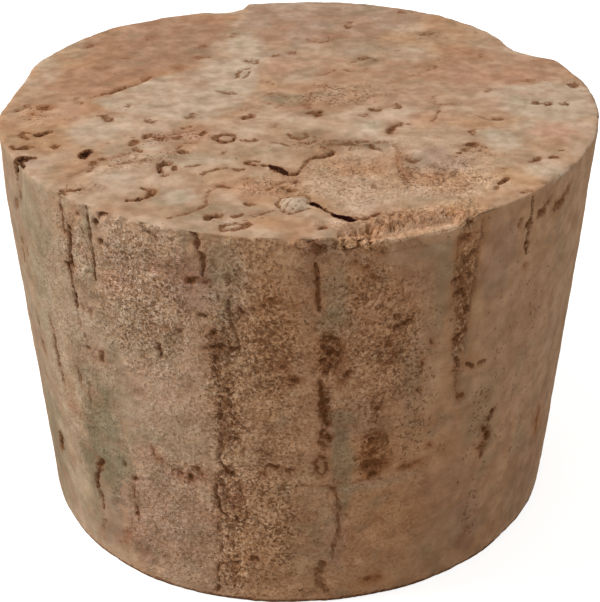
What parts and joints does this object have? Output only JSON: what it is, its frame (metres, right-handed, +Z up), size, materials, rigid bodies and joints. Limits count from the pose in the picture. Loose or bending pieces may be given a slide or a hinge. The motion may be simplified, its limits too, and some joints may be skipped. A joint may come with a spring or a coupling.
{
  "type": "cork stopper",
  "caption": "Tapered one-piece natural-cork stopper that closes a jar or wide neck by being pushed in; chipped rim, pits and cracks.",
  "frame": {"origin": "centre of the narrow bottom face, on the surface the stopper stands on", "axes": "+Z up along the taper axis to the wide top, -Y to the front with the crumbled rim, +X to the right"},
  "size_m": [0.0539, 0.054, 0.038],
  "materials": {
    "natural_cork": "matt, raw cut cork with open pits"
  },
  "bodies": {
    "root": {"stopper": "natural_cork"}
  },
  "joints": []
}
